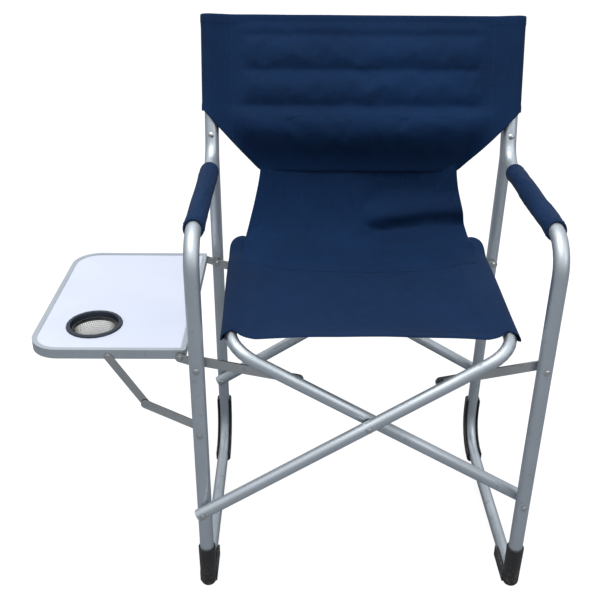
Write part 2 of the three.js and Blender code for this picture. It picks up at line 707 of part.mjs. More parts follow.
// A rivet with a domed front head and a thin pressed tail.
function shortRivet(x, z, yFront, yBack) {
  const front = yFront - GAP;
  const tailR = HEAD_R * 0.76;
  const profile = [
    [0, front - 1.6], [HEAD_R * 0.62, front - 1.2], [HEAD_R, front], [RIVET_R, front],
    [RIVET_R, yBack + 0.1], [tailR, yBack + 0.1], [tailR, yBack + 1.1], [0, yBack + 1.1],
  ].map(([r, y]) => new THREE.Vector2(r, y));
  return new THREE.LatheGeometry(profile, 10).translate(x, 0, z);
}

// A flush rivet: nothing stands proud of the bar's front face.
function flushRivet(x, z, yFront, yBack) {
  const tail = yBack + 1.1;
  const profile = [
    [0, yFront], [RIVET_R, yFront], [RIVET_R, yBack], [HEAD_R, yBack], [HEAD_R, tail], [0, tail],
  ].map(([r, y]) => new THREE.Vector2(r, y));
  return new THREE.LatheGeometry(profile, 10).translate(x, 0, z);
}

function sideTable() {
  const apronFront = TABLE_FRONT_Y + RIM_WALL;
  const apronRear = TABLE_REAR_Y - RIM_WALL;
  add('table_rim', tableRim(), aluminium());
  add('table_board', tableBoard(), whiteBoard());
  add('cup_ring', cupRing(), blackPlastic());
  add('cup_net', cupNet(), greyNet());
  add('table_bracket_front', hingeBracket(FRONT_BRACKET_Y), steel());
  add('table_bracket_rear', hingeBracket(REAR_BRACKET_Y), steel());
  add('table_pin_front', shortRivet(TABLE_HINGE_X, TABLE_HINGE_Z, FRONT_BRACKET_Y, apronFront), steel());
  // The rear pin is the same rivet turned half a turn, so that its head is on the outside.
  const rearPin = shortRivet(-TABLE_HINGE_X, TABLE_HINGE_Z, -REAR_BRACKET_Y - BRACKET_THICK, -apronRear);
  add('table_pin_rear', rearPin.rotateZ(Math.PI), steel());
  brace();
}

sideFrame('left', -LEG_X);
sideFrame('right', LEG_X);
crossFrames();
links();
fabric();
sideTable();

const box = new THREE.Box3().setFromObject(chair);
const middle = box.getCenter(new THREE.Vector3());
chair.position.set(-middle.x, -middle.y, -box.min.z);

export default chair;
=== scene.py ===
"""Looks for a folding director's chair with a side table.

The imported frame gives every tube, rivet and joint. This script adds the sewn sling, the arm pads, the cup
net and the stitching, and gives every surface its finish. Sizes are in metres. Cloth is laid out in the
chair's own frame: x from the middle between the side frames, y back from the front legs, z up from the floor.
"""

import math

import bpy
import numpy as np
from mathutils import Matrix, Vector, noise
from mathutils.bvhtree import BVHTree


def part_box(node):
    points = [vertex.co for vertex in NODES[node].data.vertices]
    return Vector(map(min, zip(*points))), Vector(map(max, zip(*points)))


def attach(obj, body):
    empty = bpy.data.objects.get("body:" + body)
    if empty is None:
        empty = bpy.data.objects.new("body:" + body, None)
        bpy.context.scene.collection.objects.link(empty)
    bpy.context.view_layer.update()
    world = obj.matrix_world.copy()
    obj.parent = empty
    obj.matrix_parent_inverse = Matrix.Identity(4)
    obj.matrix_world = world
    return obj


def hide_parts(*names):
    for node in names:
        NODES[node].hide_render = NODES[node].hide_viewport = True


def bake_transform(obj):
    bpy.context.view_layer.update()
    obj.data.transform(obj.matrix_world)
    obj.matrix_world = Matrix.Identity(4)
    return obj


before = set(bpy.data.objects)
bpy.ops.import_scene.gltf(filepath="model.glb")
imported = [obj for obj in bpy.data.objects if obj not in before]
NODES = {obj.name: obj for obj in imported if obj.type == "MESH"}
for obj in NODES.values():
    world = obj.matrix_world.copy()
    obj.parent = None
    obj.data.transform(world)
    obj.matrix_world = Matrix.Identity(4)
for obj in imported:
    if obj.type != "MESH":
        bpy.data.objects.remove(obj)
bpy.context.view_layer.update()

# ---------------------------------------------------------------- places read from the frame
LEFT_LO, LEFT_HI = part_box("arm_tube_left")
RIGHT_LO, RIGHT_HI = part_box("arm_tube_right")
RAIL_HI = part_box("cross_tube_a")[1]
NET_LO, NET_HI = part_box("cup_net")

ARM_R = (LEFT_HI.x - LEFT_LO.x) / 2
RAIL_R = 0.0095
MID_X = (LEFT_LO.x + RIGHT_HI.x) / 2
LEG_Y = LEFT_LO.y + ARM_R
POST_X = RIGHT_HI.x - ARM_R - MID_X
RAIL_X = RAIL_HI.x - RAIL_R - MID_X
RAIL_Z = RAIL_HI.z - RAIL_R
RECLINE = math.radians(15.5)
POST_TOP_Z = LEFT_HI.z - ARM_R * math.sin(RECLINE)
POST_TOP_Y = LEFT_HI.y - ARM_R * math.cos(RECLINE) - LEG_Y

# ---------------------------------------------------------------- cloth sizes
CLOTH = 0.0015
HEM = 0.012
BACK_TOP_Z = 0.822
SLEEVE_GAP = 0.0035
SLEEVE_SEAM = 0.034
SLEEVE_END_Z = 0.677
BACK_LOW_Z = 0.582
WAIST_X = 0.168
QUILT_X = 0.200
QUILT_SEAMS = (0.792, 0.740, 0.684)
ROLL_DEPTH = 0.007

SEAT_FRONT_Y = 0.012
SEAT_REAR_Y = 0.343
SEAT_SAG = 0.008
SEAT_SEAM = 0.036



def place(points):
    """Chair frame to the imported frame."""
    return np.asarray(points, float) + np.array((MID_X, LEG_Y, 0.0))


def smooth(t):
    """0 below 0, 1 above 1, and an even S between them."""
    t = np.clip(t, 0, 1)
    return t * t * (3 - 2 * t)


def spline(knots, count):
    """Points along a Catmull-Rom curve through the knots, evenly spaced in arc length."""
    k = np.asarray(knots, float)
    k = np.vstack((2 * k[0] - k[1], k, 2 * k[-1] - k[-2]))
    t = np.linspace(0, 1, 24, endpoint=False)[:, None]
    runs = []
    for a, b, c, d in zip(k, k[1:], k[2:], k[3:]):
        runs.append(0.5 * (2 * b + (c - a) * t + (2 * a - 5 * b + 4 * c - d) * t**2 + (3 * b - a - 3 * c + d) * t**3))
    fine = np.vstack(runs + [k[-2:-1]])
    length = np.concatenate(((0,), np.cumsum(np.linalg.norm(np.diff(fine, axis=0), axis=1))))
    want = np.linspace(0, length[-1], count)
    return np.stack([np.interp(want, length, fine[:, i]) for i in range(fine.shape[1])], axis=1)


def along(knots, at):
    """A smooth function through (at, value) knots, read at the given places."""
    fine = spline(knots, 400)
    return np.interp(at, fine[:, 0], fine[:, 1])


def ripple(points, scale, seed):
    """Smooth noise from -1 to 1 at each point, the same on every run."""
    flat = points.reshape(-1, 3)
    shift = Vector((seed * 7.3, seed * 3.1, seed * 5.7))
    values = [noise.noise(Vector(p) / scale + shift) for p in flat]
    return np.array(values).reshape(points.shape[:-1])


# ---------------------------------------------------------------- meshes
def new_mesh(name, vertices, faces, smooth_angle=50):
    mesh = bpy.data.meshes.new(name)
    mesh.from_pydata([tuple(v) for v in vertices], [], [tuple(f) for f in faces])
    mesh.validate()
    mesh.shade_smooth()
    mesh.set_sharp_from_angle(angle=math.radians(smooth_angle))
    obj = bpy.data.objects.new(name, mesh)
    bpy.context.scene.collection.objects.link(obj)
    return obj


def grid_normals(grid):
    across = np.gradient(grid, axis=1)
    down = np.gradient(grid, axis=0)
    n = np.cross(across, down)
    return n / np.maximum(np.linalg.norm(n, axis=2, keepdims=True), 1e-12)


def shell(grid, front, rear):
    """Vertices and faces of a closed sheet round a grid: front and rear are its depths on each side."""
    rows, cols = grid.shape[:2]
    n = grid_normals(grid)
    outer = grid + n * front[..., None]
    inner = grid - n * rear[..., None]
    vertices = np.vstack((outer.reshape(-1, 3), inner.reshape(-1, 3)))
    index = np.arange(rows * cols).reshape(rows, cols)
    back = index + rows * cols
    a, b, c, d = index[:-1, :-1], index[:-1, 1:], index[1:, 1:], index[1:, :-1]
    faces = [np.stack((a, b, c, d), -1).reshape(-1, 4)]
    faces.append(np.stack((d, c, b, a), -1).reshape(-1, 4) + rows * cols)
    for rim, deep in ((index[0], back[0]), (index[:, -1], back[:, -1])):
        faces.append(np.stack((rim[1:], rim[:-1], deep[:-1], deep[1:]), -1))
    for rim, deep in ((index[-1], back[-1]), (index[:, 0], back[:, 0])):
        faces.append(np.stack((rim[:-1], rim[1:], deep[1:], deep[:-1]), -1))
    return vertices, np.vstack(faces)


def coordinates(obj):
    co = np.zeros(len(obj.data.vertices) * 3)
    obj.data.vertices.foreach_get("co", co)
    return co.reshape(-1, 3)


def set_coordinates(obj, co):
    obj.data.vertices.foreach_set("co", np.asarray(co, float).ravel())
    obj.data.update()


def apply_modifiers(obj):
    """Replaces the mesh by what its modifiers make of it."""
    bpy.context.view_layer.update()
    evaluated = obj.evaluated_get(bpy.context.evaluated_depsgraph_get())
    mesh = bpy.data.meshes.new_from_object(evaluated)
    obj.modifiers.clear()
    obj.data = mesh


def drape(obj, pinned, cap, pressure=0.0, gravity=0.0, slack=0.0, frames=20):
    """Runs a short cloth simulation, moves no vertex further than cap, and keeps the result as the mesh."""
    group = obj.vertex_groups.new(name="pinned")
    group.add([int(i) for i in np.flatnonzero(pinned)], 1.0, "REPLACE")
    modifier = obj.modifiers.new("drape", "CLOTH")
    settings = modifier.settings
    settings.quality = 6
    settings.mass = 0.25
    settings.tension_stiffness = 12
    settings.compression_stiffness = 12
    settings.shear_stiffness = 5
    settings.bending_stiffness = 0.4
    settings.vertex_group_mass = "pinned"
    settings.shrink_min = -slack
    settings.effector_weights.gravity = gravity
    settings.use_pressure = pressure > 0
    settings.uniform_pressure_force = pressure
    modifier.collision_settings.use_collision = False
    modifier.point_cache.frame_start = 1
    modifier.point_cache.frame_end = frames
    for number in range(1, frames + 1):
        bpy.context.scene.frame_set(number)
    before = coordinates(obj)
    after = np.zeros(len(before) * 3)
    evaluated = obj.evaluated_get(bpy.context.evaluated_depsgraph_get())
    evaluated.data.vertices.foreach_get("co", after)
    move = after.reshape(-1, 3) - before
    far = np.linalg.norm(move, axis=1, keepdims=True)
    obj.modifiers.clear()
    set_coordinates(obj, before + move * np.minimum(1, cap / np.maximum(far, 1e-9)))
    bpy.context.scene.frame_set(1)


def subdivide(obj):
    obj.modifiers.new("surface", "SUBSURF").levels = 1
    apply_modifiers(obj)


def join(obj, vertices, faces, slot_index):
    """Adds loose vertices and faces to obj, with their own material slot."""
    mesh = obj.data
    old_vertices = [tuple(v.co) for v in mesh.vertices]
    old_faces = [tuple(p.vertices) for p in mesh.polygons]
    old_slots = [p.material_index for p in mesh.polygons]
    shift = len(old_vertices)
    new_faces = [tuple(int(i) + shift for i in f) for f in faces]
    joined = bpy.data.meshes.new(obj.name)
    joined.from_pydata(old_vertices + [tuple(v) for v in vertices], [], old_faces + new_faces)
    for material in mesh.materials:
        joined.materials.append(material)
    joined.polygons.foreach_set("material_index", old_slots + [slot_index] * len(new_faces))
    joined.shade_smooth()
    joined.set_sharp_from_angle(angle=math.radians(50))
    obj.data = joined


STITCH_LENGTH = 0.0036
STITCH_GAP = 0.0016
STITCH_R = 0.00045


def stitches(path, normals):
    """A row of short raised threads along a path, each dipping into the cloth at both ends."""
    path, normals = np.asarray(path, float), np.asarray(normals, float)
    length = np.concatenate(((0,), np.cumsum(np.linalg.norm(np.diff(path, axis=0), axis=1))))
    step = STITCH_LENGTH + STITCH_GAP
    vertices, faces = [], []
    for start in np.arange(STITCH_GAP, length[-1] - STITCH_LENGTH, step):
        base = len(vertices)
        for share, lift, size in ((0, -0.5, 0.4), (0.2, 0.5, 1), (0.8, 0.5, 1), (1, -0.5, 0.4)):
            at = start + share * STITCH_LENGTH
            p = np.array([np.interp(at, length, path[:, i]) for i in range(3)])
            n = np.array([np.interp(at, length, normals[:, i]) for i in range(3)])
            ahead = np.array([np.interp(at + 1e-4, length, path[:, i]) for i in range(3)]) - p
            side = np.cross(ahead / np.linalg.norm(ahead), n)
            for turn in range(4):
                angle = math.pi / 4 + turn * math.pi / 2
                spread = math.cos(angle) * side + math.sin(angle) * n
                vertices.append(p + STITCH_R * (lift * n + size * spread))
        for ring in range(3):
            for turn in range(4):
                low, high = base + ring * 4, base + ring * 4 + 4
                after = (turn + 1) % 4
                faces.append((low + turn, low + after, high + after, high + turn))
        faces.append((base + 3, base + 2, base + 1, base))
        faces.append((base + 12, base + 13, base + 14, base + 15))
    return vertices, faces


def stitch_on(obj, lines, rows, cols):
    """Stitch rows on a sheet whose first rows x cols vertices are its outer face. A line is a list of (row, col)."""
    grid = coordinates(obj)[: rows * cols].reshape(rows, cols, 3)
    n = grid_normals(grid)
    vertices, faces = [], []
    for line in lines:
        r, c = np.array(line).T
        v, f = stitches(grid[r, c], n[r, c])
        faces += [tuple(i + len(vertices) for i in face) for face in f]
        vertices += v
    return vertices, faces


# ---------------------------------------------------------------- materials
class Finish:
    """A procedural material: a Principled surface and short helpers for its node tree."""

    def __init__(self, name, **inputs):
        self.material = bpy.data.materials.new(name)
        self.material.use_nodes = True
        self.tree = self.material.node_tree
        self.tree.nodes.clear()
        output = self.node("ShaderNodeOutputMaterial")
        self.surface = self.node("ShaderNodeBsdfPrincipled")
        self.tree.links.new(self.surface.outputs[0], output.inputs[0])
        self.where = self.node("ShaderNodeTexCoord").outputs["Object"]
        for key, value in inputs.items():
            self.surface.inputs[key.replace("_", " ")].default_value = value

    def node(self, kind, **settings):
        made = self.tree.nodes.new(kind)
        for key, value in settings.items():
            setattr(made, key, value)
        return made

    def feed(self, value, socket):
        if isinstance(value, bpy.types.NodeSocket):
            self.tree.links.new(value, socket)
        else:
            socket.default_value = value

    def stretched(self, x, y, z):
        """Object coordinates scaled per axis."""
        made = self.node("ShaderNodeMapping")
        self.feed(self.where, made.inputs["Vector"])
        made.inputs["Scale"].default_value = (x, y, z)
        return made.outputs[0]

    def noise(self, scale, detail=3.0, vector=None):
        made = self.node("ShaderNodeTexNoise")
        self.feed(vector or self.where, made.inputs["Vector"])
        made.inputs["Scale"].default_value = scale
        made.inputs["Detail"].default_value = detail
        return made.outputs["Fac"]

    def maths(self, kind, a, b=0.0):
        made = self.node("ShaderNodeMath", operation=kind)
        self.feed(a, made.inputs[0])
        self.feed(b, made.inputs[1])
        return made.outputs[0]

    def spread(self, value, low, high, start=0.3, end=0.7):
        """Maps a value from start..end to low..high."""
        made = self.node("ShaderNodeMapRange")
        self.feed(value, made.inputs["Value"])
        for key, number in (("From Min", start), ("From Max", end), ("To Min", low), ("To Max", high)):
            made.inputs[key].default_value = number
        return made.outputs[0]

    def mix(self, share, a, b):
        made = self.node("ShaderNodeMix", data_type="RGBA")
        self.feed(share, made.inputs[0])
        self.feed(a, made.inputs[6])
        self.feed(b, made.inputs[7])
        return made.outputs[2]

    def bump(self, height, strength, distance, under=None):
        made = self.node("ShaderNodeBump")
        made.inputs["Strength"].default_value = strength
        made.inputs["Distance"].default_value = distance
        self.feed(height, made.inputs["Height"])
        if under is not None:
            self.feed(under, made.inputs["Normal"])
        return made.outputs[0]

    def axis(self, name):
        made = self.node("ShaderNodeSeparateXYZ")
        self.feed(self.where, made.inputs[0])
        return made.outputs[name]

    def use(self, **links):
        for key, value in links.items():
            self.feed(value, self.surface.inputs[key.replace("_", " ")])
        return self.material


THREAD_PITCH = 0.0011


def woven(name, dark, light, roughness=0.78):
    """Coarse polyester weave: two crossing thread waves, slubs along both threads and faint fading."""
    f = Finish(name, Roughness=roughness, Specular_IOR_Level=0.12, Sheen_Weight=0.03, Sheen_Roughness=0.4)
    turn = 2 * math.pi / THREAD_PITCH
    warp = f.maths("SINE", f.maths("MULTIPLY", f.axis("X"), turn))
    weft = f.maths("SINE", f.maths("MULTIPLY", f.maths("ADD", f.axis("Y"), f.axis("Z")), turn))
    weave = f.maths("MULTIPLY", warp, weft)
    slub_long = f.noise(1.0, 4.0, f.stretched(900, 60, 60))
    slub_cross = f.noise(1.0, 4.0, f.stretched(60, 700, 700))
    slubs = f.maths("ADD", slub_long, slub_cross)
    fading = f.noise(9.0, 2.0)
    tone = f.mix(f.spread(slubs, 0, 1, 0.7, 1.3), (*dark, 1), (*light, 1))
    worn = f.mix(f.spread(fading, 0, 0.35), tone, (*(1.35 * c for c in light), 1))
    height = f.maths("ADD", f.maths("MULTIPLY", weave, 0.5), f.maths("MULTIPLY", slubs, 1.2))
    soft = f.bump(f.noise(55.0, 3.0), 0.25, 0.002)
    return f.use(
        Base_Color=worn,
        Roughness=f.spread(slubs, roughness - 0.08, roughness + 0.1, 0.7, 1.3),
        Normal=f.bump(height, 0.45, 0.0004, soft),
    )


def metal(name, colour, roughness, grain, metallic=1.0):
    """Drawn or plated metal: fine drawing marks, cloudy polish and small dull rubs."""
    f = Finish(name, Metallic=metallic, Specular_IOR_Level=0.5)
    marks = f.noise(1.0, 5.0, f.stretched(1400, 1400, 60))
    clouds = f.noise(14.0, 3.0)
    rubs = f.spread(f.noise(70.0, 6.0), 0, 1, 0.62, 0.72)
    dull = [0.72 * c for c in colour]
    tone = f.mix(f.spread(clouds, 0, 0.5), (*colour, 1), (*dull, 1))
    tone = f.mix(f.maths("MULTIPLY", rubs, 0.35), tone, (*(0.55 * c for c in colour), 1))
    rough = f.maths("ADD", f.spread(clouds, roughness - 0.06, roughness + 0.08), f.maths("MULTIPLY", rubs, 0.15))
    return f.use(Base_Color=tone, Roughness=rough, Normal=f.bump(marks, grain, 0.0002))


def moulded(name, colour, roughness, scuff_height=0.0):
    """Moulded plastic with a fine spark grain, paler scuffs low down where it drags on the floor."""
    f = Finish(name, Specular_IOR_Level=0.45)
    grain = f.noise(1500.0, 2.0)
    patches = f.noise(60.0, 5.0)
    tone = f.mix(f.spread(patches, 0, 0.4), (*colour, 1), (*(1.8 * c + 0.01 for c in colour), 1))
    if scuff_height:
        low = f.spread(f.axis("Z"), 0.8, 0.0, 0.0, scuff_height)
        scuffs = f.maths("MULTIPLY", low, f.spread(f.noise(180.0, 6.0), 0, 1, 0.5, 0.66))
        tone = f.mix(scuffs, tone, (0.11, 0.10, 0.09, 1))
    return f.use(
        Base_Color=tone,
        Roughness=f.spread(patches, roughness - 0.06, roughness + 0.12),
        Normal=f.bump(grain, 0.25, 0.0003),
    )


def laminate(name):
    """White faced board with a faint orange-peel skin and a few soft marks."""
    f = Finish(name, Specular_IOR_Level=0.5, Coat_Weight=0.15, Coat_Roughness=0.2)
    peel = f.noise(420.0, 2.0)
    marks = f.spread(f.noise(1.0, 5.0, f.stretched(60, 14, 60)), 0, 1, 0.6, 0.8)
    tone = f.mix(f.spread(f.noise(7.0, 2.0), 0, 1), (0.55, 0.58, 0.67, 1), (0.51, 0.54, 0.64, 1))
    tone = f.mix(f.maths("MULTIPLY", marks, 0.12), tone, (0.45, 0.47, 0.50, 1))
    return f.use(Base_Color=tone, Roughness=f.spread(peel, 0.3, 0.42), Normal=f.bump(peel, 0.12, 0.0004))


def make_materials():
    navy_dark, navy_light = (0.0016, 0.0105, 0.036), (0.0042, 0.0225, 0.072)
    return {
        "navy_fabric": woven("navy_fabric", navy_dark, navy_light),
        "navy_pad": woven("navy_pad", navy_dark, navy_light, 0.7),
        "thread": woven("navy_thread", (0.006, 0.022, 0.070), (0.012, 0.036, 0.10), 0.6),
        "satin_aluminium": metal("satin_aluminium", (0.56, 0.60, 0.635), 0.50, 0.25),
        "plated_steel": metal("plated_steel", (0.50, 0.51, 0.50), 0.30, 0.15),
        "black_plastic": moulded("black_plastic", (0.012, 0.011, 0.010), 0.45, 0.05),
        "ring_plastic": moulded("ring_plastic", (0.006, 0.010, 0.020), 0.38),
        "white_board": laminate("white_board"),
        "grey_net": woven("grey_net", (0.075, 0.075, 0.075), (0.15, 0.15, 0.146), 0.7),
    }


MATERIALS = make_materials()


def smooth_group():
    """Geometry nodes that merge a facetted CAD mesh's split corners and smooth all but its sharp edges."""
    tree = bpy.data.node_groups.new("weld_and_smooth", "GeometryNodeTree")
    tree.interface.new_socket("Geometry", in_out="INPUT", socket_type="NodeSocketGeometry")
    tree.interface.new_socket("Geometry", in_out="OUTPUT", socket_type="NodeSocketGeometry")
    enter = tree.nodes.new("NodeGroupInput")
    leave = tree.nodes.new("NodeGroupOutput")
    weld = tree.nodes.new("GeometryNodeMergeByDistance")
    weld.inputs["Distance"].default_value = 1e-6
    angle = tree.nodes.new("GeometryNodeInputMeshEdgeAngle")
    flat = tree.nodes.new("FunctionNodeCompare")
    flat.operation = "LESS_THAN"
    flat.inputs[1].default_value = math.radians(38)
    faces = tree.nodes.new("GeometryNodeSetShadeSmooth")
    edges = tree.nodes.new("GeometryNodeSetShadeSmooth")
    edges.domain = "EDGE"
    link = tree.links.new
    link(enter.outputs[0], weld.inputs["Geometry"])
    link(weld.outputs[0], faces.inputs["Geometry"])
    link(faces.outputs[0], edges.inputs["Geometry"])
    link(angle.outputs["Unsigned Angle"], flat.inputs[0])
    link(flat.outputs[0], edges.inputs["Shade Smooth"])
    link(edges.outputs[0], leave.inputs[0])
    return tree


def finish_nodes():
    """Every CAD node keeps its mesh and takes its slot's procedural material."""
    tree = smooth_group()
    for name, obj in NODES.items():
        slot_name = obj.data.materials[0].name
        if name == "cup_ring":
            slot_name = "ring_plastic"
        obj.data.materials[0] = MATERIALS[slot_name]
        obj.modifiers.new("smooth", "NODES").node_group = tree


# ---------------------------------------------------------------- the back panel
def post_y(z):
    return POST_TOP_Y - (POST_TOP_Z - z) * math.tan(RECLINE)


def back_edge_z(x):
    """Lower edge of the back panel: level at the waist, then rising outwards to the sleeves' ends."""
    share = (np.abs(x) - WAIST_X) / (POST_X + ARM_R - WAIST_X)
    return BACK_LOW_Z + (SLEEVE_END_Z - BACK_LOW_Z) * np.clip(share, 0, 1)


def back_section():
    """Level section of the panel: (x, depth behind the post plane) from seam to seam round both posts."""
    r = ARM_R + SLEEVE_GAP
    turn = np.linspace(math.pi / 2, 3 * math.pi / 2, 15)
    arc = np.stack((-POST_X + r * np.cos(turn), r * np.sin(turn)), axis=1)
    inner = -POST_X + SLEEVE_SEAM
    flap = np.linspace((inner, 0.0012), arc[0], 6, endpoint=False)
    front = np.linspace(arc[-1], (inner, -0.0035), 6)[1:]
    half = np.vstack((flap, arc, front))
    middle = np.linspace((inner, -0.0035), (-inner, -0.0035), 66)[1:-1]
    return np.vstack((half, middle, half[::-1] * (-1, 1)))


def roll_profile(z):
    """Forward swell of the padded rolls between the sewn channels."""
    edges = (BACK_TOP_Z - HEM,) + QUILT_SEAMS
    swell = np.zeros_like(z)
    for high, low in zip(edges, edges[1:]):
        share = np.clip((high - z) / (high - low), 0, 1)
        swell += ROLL_DEPTH * (high - low) / 0.055 * np.sin(math.pi * share) ** 0.8
    return swell


# forward swell (positive) or hollow (negative) of the loose cloth below the last channel
LOOSE_SWELL = ((0.560, -0.052), (0.582, -0.047), (0.600, -0.037), (0.618, -0.022), (0.634, -0.007),
               (0.648, 0.005), (0.662, 0.011), (0.674, 0.009), (0.684, 0.0), (0.700, 0.0))


def back_rows():
    """Heights of the rows at the middle, with a row on each channel."""
    stops = (BACK_TOP_Z, BACK_TOP_Z - HEM) + QUILT_SEAMS + (BACK_LOW_Z,)
    counts = (2, 3, 9, 10, 14)
    rows = [np.linspace(high, low, n, endpoint=False) for high, low, n in zip(stops, stops[1:], counts)]
    return np.concatenate(rows + [[BACK_LOW_Z]]), np.cumsum((0,) + counts)


def build_back_panel():
    section = back_section()
    heights, marks = back_rows()
    seam = int(marks[4])
    x = np.tile(section[:, 0], (len(heights), 1))
    z = np.tile(heights[:, None], (1, len(section)))
    lift = 0.036 * smooth((np.abs(section[:, 0]) - QUILT_X) / 0.05)
    share_up = (BACK_TOP_Z - heights[: seam + 1, None]) / (BACK_TOP_Z - QUILT_SEAMS[-1])
    z[: seam + 1] += share_up**2 * lift
    share_down = np.linspace(0, 1, len(heights) - seam)[:, None]
    z[seam:] = z[seam] * (1 - share_down) + back_edge_z(section[:, 0]) * share_down
    inside = smooth((QUILT_X + 0.004 - np.abs(x)) / 0.03)
    swell = roll_profile(z) * inside
    free = smooth((POST_X - 0.012 - np.abs(x)) / 0.06)
    swell += along(LOOSE_SWELL, z) * free
    swell += 0.0016 * ripple(np.stack((x, z, 0 * x), -1), 0.05, 1) * free
    depth = section[None, :, 1] - swell
    on_sleeve = np.abs(x) > POST_X - SLEEVE_SEAM
    y = post_y(z) + depth * math.cos(RECLINE)
    grid = place(np.stack((x, y, z - depth * math.sin(RECLINE)), -1))
    padded = inside * (z < BACK_TOP_Z - HEM + 1e-6) * (z > QUILT_SEAMS[-1] - 1e-6)
    front = np.full(x.shape, CLOTH / 2)
    rear = np.full(x.shape, CLOTH / 2) + roll_profile(z) * padded * 1.5
    hemmed = (BACK_TOP_Z - z < HEM) | (z - back_edge_z(x) < HEM * 0.8)
    front = front + np.where(hemmed, 0.0007, 0)
    vertices, faces = shell(grid[:, ::-1], front[:, ::-1], rear[:, ::-1])
    obj = new_mesh("back_panel", vertices, faces)
    rows, cols = x.shape
    seam_rows = np.isin(np.arange(rows), marks[1:5])
    held = (np.abs(x) > QUILT_X - 0.004) | seam_rows[:, None] | (np.arange(rows)[:, None] < marks[1])
    held |= np.arange(rows)[:, None] > rows - 6
    drape(obj, np.concatenate([held[:, ::-1].ravel()] * 2), cap=0.006, pressure=4.0, slack=0.012)
    obj.data.materials.append(MATERIALS["navy_fabric"])
    obj.data.materials.append(MATERIALS["thread"])
    flipped = cols - 1
    inner = np.flatnonzero(np.abs(section[:, 0]) <= QUILT_X)
    lines = [[(int(marks[k]), flipped - c) for c in inner] for k in (2, 3, 4)]
    fronts = np.flatnonzero(section[:, 1] < 0)
    lines.append([(int(marks[1]), flipped - c) for c in fronts])
    for side in (-1, 1):
        column = int(np.argmin(np.abs(section[:, 0] - side * (POST_X - SLEEVE_SEAM)) + (section[:, 1] > 0)))
        lines.append([(r, flipped - column) for r in range(rows - 1)])
    extra = stitch_on(obj, lines, rows, cols)
    subdivide(obj)
    join(obj, *extra, 1)
    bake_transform(obj)
    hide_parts("back_panel_left", "back_panel_right")
    return obj


# ---------------------------------------------------------------- the seat
# section of the seat's sleeve, as (x inboard of the rail, z above its centre)
SLEEVE_LOOP = ((0.036, 0.0052), (0.016, -0.005), (0.001, -0.0122), (-0.010, -0.008), (-0.0130, 0.001),
               (-0.009, 0.0090), (0.0, 0.0112), (0.016, 0.0108), (0.036, 0.0100))


def seat_level(x, y):
    """Height of the stretched seat over the rails' centres."""
    across = np.clip(1 - (x / (RAIL_X - 0.015)) ** 2, 0, 1)
    lengthwise = 0.15 + 0.85 * smooth(y / 0.11)
    return 0.0100 - SEAT_SAG * across**1.3 * lengthwise


def build_seat():
    loop = spline(SLEEVE_LOOP, 26)
    left = np.stack((-RAIL_X + loop[:, 0], loop[:, 1]), axis=1)
    middle_x = np.linspace(left[-1, 0], -left[-1, 0], 58)[1:-1]
    middle = np.stack((middle_x, np.full_like(middle_x, 0.01)), axis=1)
    section = np.vstack((left, middle, left[::-1] * (-1, 1)))
    cols = len(section)
    lap = np.minimum(np.arange(cols), np.arange(cols)[::-1])
    around = np.clip(lap / (len(left) - 1), 0, 1)
    front = along(((0.0, 0.046), (0.16, 0.054), (0.30, 0.062), (0.42, 0.048), (0.52, 0.022), (0.62, 0.026),
                   (0.72, 0.034), (0.84, 0.020), (1.0, SEAT_FRONT_Y)), around)
    front += 0.010 * np.clip(1 - (section[:, 0] / 0.165) ** 2, 0, 1)
    rear = along(((0.0, SEAT_REAR_Y), (0.16, 0.322), (0.30, 0.310), (0.42, 0.316), (0.52, 0.326), (0.62, 0.340),
                  (0.72, 0.347), (0.84, SEAT_REAR_Y + 0.003), (1.0, SEAT_REAR_Y)), around)
    rows = 62
    share = np.linspace(0, 1, rows)[:, None]
    y = front * (1 - share) + rear * share
    x = np.tile(section[:, 0], (rows, 1))
    over = np.tile(section[:, 1], (rows, 1))
    outward = np.clip(np.abs(x) - RAIL_X, 0, None)
    x = np.sign(x) * (np.abs(x) + outward * 0.55 * smooth(y / 0.3))
    flat = np.abs(section[:, 0]) < RAIL_X - 0.036 + 1e-9
    top = around > 0.70
    level = seat_level(x, y)
    ease = smooth((around - 0.70) / 0.22)
    over = np.where(top, over * (1 - ease) + level * ease, over)
    ear = smooth((y - 0.300) / 0.045) * smooth((np.abs(x) - 0.170) / 0.03) * (around > 0.5)
    over = over + 0.013 * ear
    grid = place(np.stack((x, y, RAIL_Z + over), -1))
    grid[..., 2] += 0.0010 * ripple(grid, 0.06, 4) * (flat | top)
    vertices, faces = shell(grid, np.zeros(x.shape), np.zeros(x.shape))
    lay = new_mesh("seat_lay", vertices[: rows * cols], faces[: (rows - 1) * (cols - 1)])
    held = ~flat | (np.arange(rows)[:, None] < 2)
    drape(lay, held.ravel(), cap=0.009, gravity=0.6, slack=0.006)
    grid = coordinates(lay).reshape(rows, cols, 3)
    bpy.data.objects.remove(lay)
    thick = np.full(x.shape, CLOTH / 2)
    thick += np.where((y - front < HEM) & top, 0.0007, 0)
    obj = new_mesh("seat_sling", *shell(grid[:, ::-1], thick[:, ::-1], thick[:, ::-1]))
    obj.data.materials.append(MATERIALS["navy_fabric"])
    obj.data.materials.append(MATERIALS["thread"])
    flipped = cols - 1
    hem_row = int(np.argmin(np.abs(y[:, cols // 2] - front[cols // 2] - HEM)))
    tops = np.flatnonzero(around > 0.66)
    lines = [[(hem_row, flipped - c) for c in tops]]
    for column in (len(left) - 1, cols - len(left)):
        lines.append([(r, flipped - column) for r in range(4, rows - 3)])
    extra = stitch_on(obj, lines, rows, cols)
    subdivide(obj)
    join(obj, *extra, 1)
    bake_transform(obj)
    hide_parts("seat_panel_left", "seat_panel_right")
    return obj


